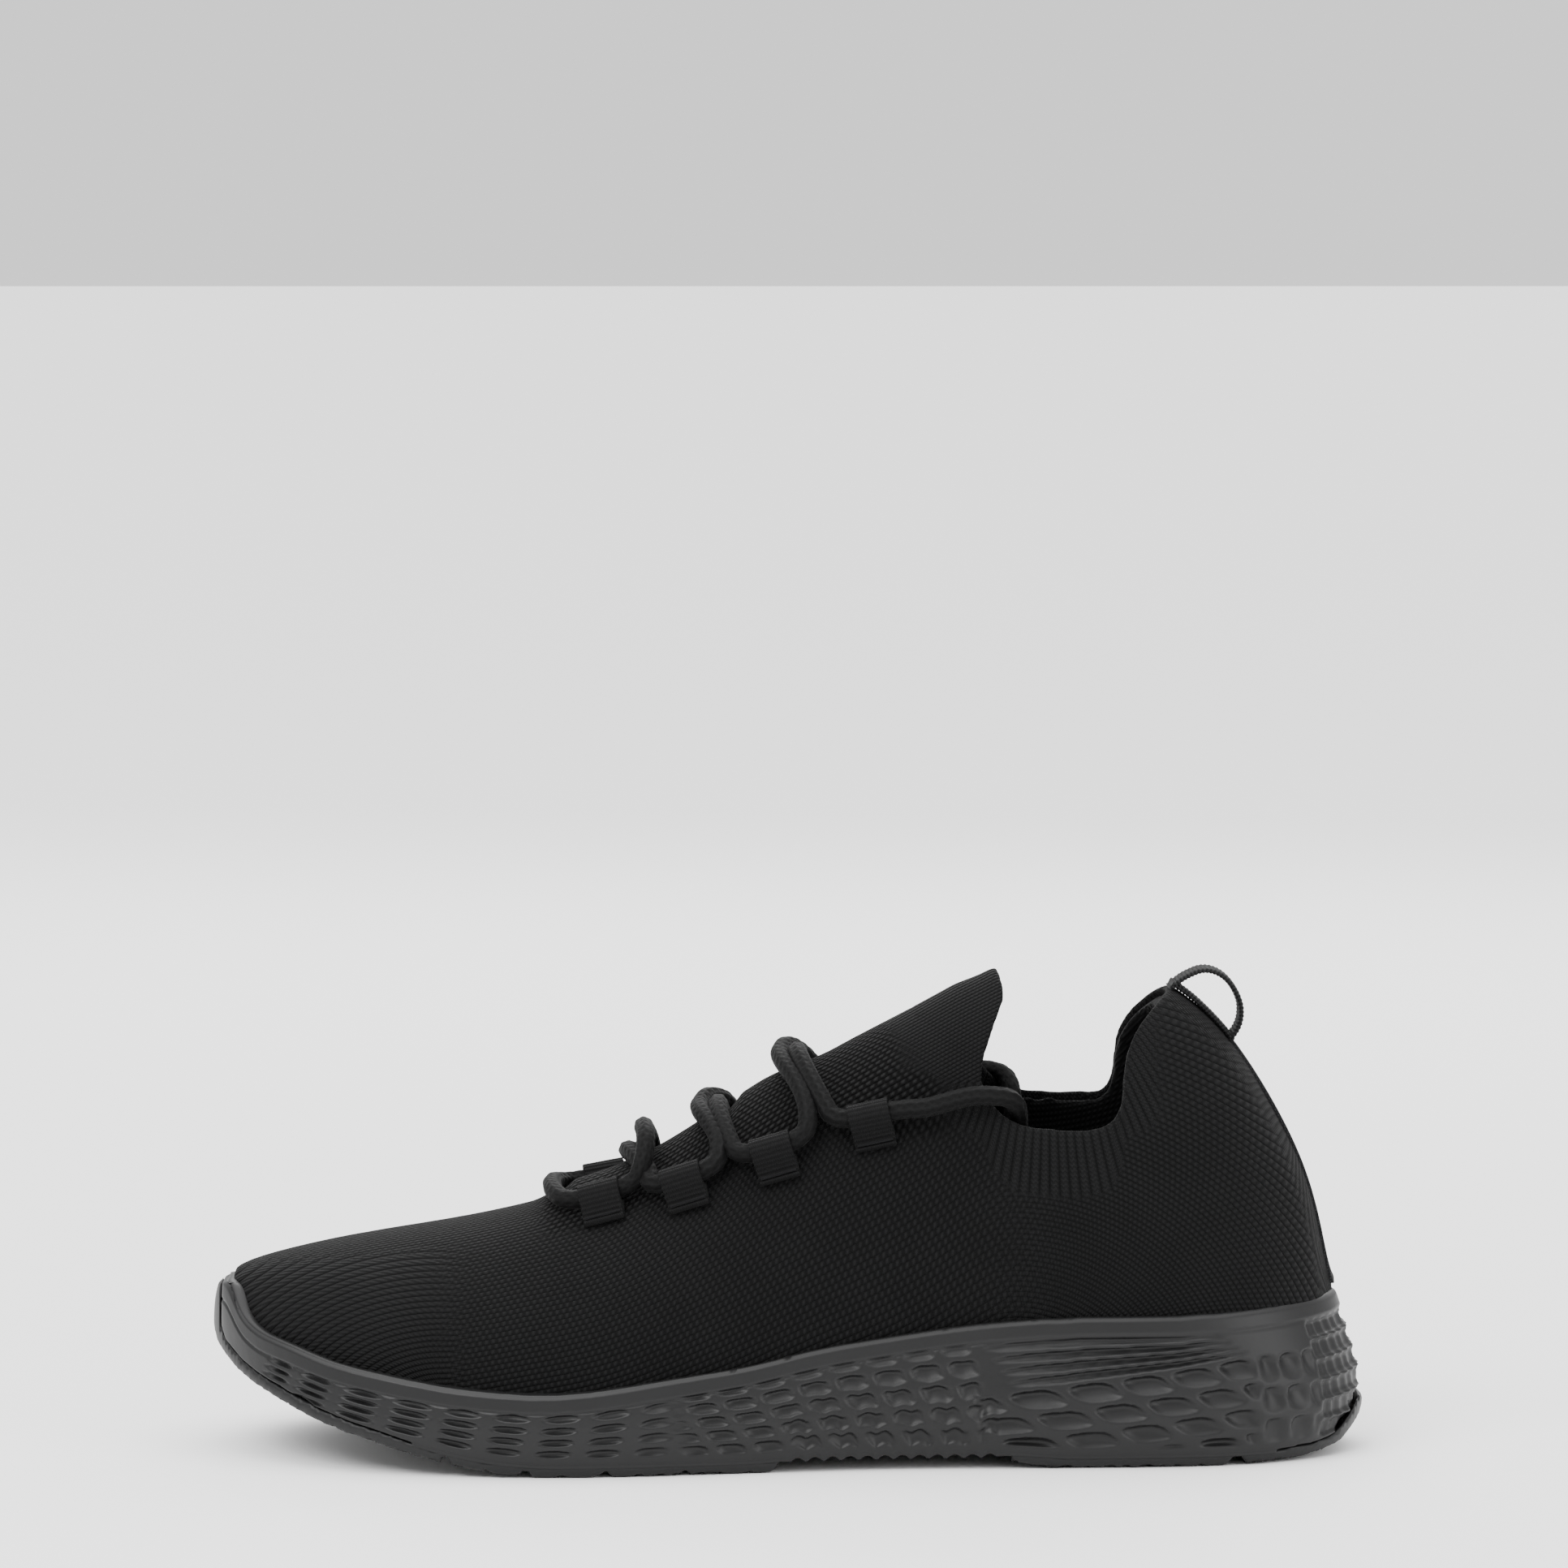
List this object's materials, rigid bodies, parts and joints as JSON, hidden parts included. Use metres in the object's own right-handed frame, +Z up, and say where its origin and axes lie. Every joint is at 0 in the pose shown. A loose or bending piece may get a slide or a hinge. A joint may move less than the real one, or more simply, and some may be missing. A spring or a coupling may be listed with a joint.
{
  "type": "running shoe",
  "caption": "Left running shoe with a one-piece knitted upper, round laces through tape loops, a heel pull tab and a sculpted foam sole with rubber outsole pads.",
  "frame": {"origin": "on the ground, at the middle of the bounding box seen from above", "axes": "+X towards the heel, toe at -X; +Y towards the inner (medial) side; +Z up"},
  "size_m": [0.2961, 0.106, 0.1239],
  "materials": {
    "board": "non-woven board",
    "bonded_tape": "bonded reinforcing tape",
    "braid": "round braided lace, black",
    "grosgrain": "ribbed woven tape, black, slight sheen",
    "knit": "matt knitted polyester yarn, black",
    "lace_tip": "clear-black film tip, glossy",
    "lining": "fine mesh cloth, black",
    "midsole_foam": "moulded foam, black, satin",
    "outsole_rubber": "solid rubber, black, satin",
    "pad_foam": "open-cell foam, dark grey",
    "seam_tape": "narrow woven tape, dark grey",
    "stiffener": "thermoplastic sheet",
    "thread": "polyester thread, black",
    "webbing": "ribbed webbing, dark grey"
  },
  "bodies": {
    "shoe": {"collar_foam": "pad_foam", "collar_lining": "lining", "eyestay_tape_lateral": "bonded_tape", "eyestay_tape_medial": "bonded_tape", "heel_counter": "stiffener", "heel_seam_tape": "seam_tape", "heel_webbing": "webbing", "knit_upper": "knit", "lace": "braid", "lace_loop_lateral_1": "grosgrain", "lace_loop_lateral_2": "grosgrain", "lace_loop_lateral_3": "grosgrain", "lace_loop_lateral_4": "grosgrain", "lace_loop_medial_1": "grosgrain", "lace_loop_medial_2": "grosgrain", "lace_loop_medial_3": "grosgrain", "lace_loop_medial_4": "grosgrain", "lace_tip_1": "lace_tip", "lace_tip_2": "lace_tip", "loop_stitches": "thread", "midsole": "midsole_foam", "outsole_forefoot": "outsole_rubber", "outsole_heel": "outsole_rubber", "sockliner_cloth": "lining", "sockliner_foam": "pad_foam", "strobel_board": "board", "toe_puff": "stiffener"},
    "tongue_end": {"tongue": "knit"},
    "pull_loop": {"pull_tab": "webbing"}
  },
  "joints": [
    {"name": "tongue_fold", "type": "hinge", "parent": "shoe", "child": "tongue_end", "pos_m": [0.0308, 0, 0.113], "axis": [0, -1, 0], "range_deg": [0, 35], "stiffness_Nm_per_rad": 0.02},
    {"name": "pull_tab_swing", "type": "hinge", "parent": "shoe", "child": "pull_loop", "pos_m": [0.10727, 0, 0.11211], "axis": [0.7286, 0, -0.6849], "range_deg": [-20, 20], "stiffness_Nm_per_rad": 0.004}
  ]
}
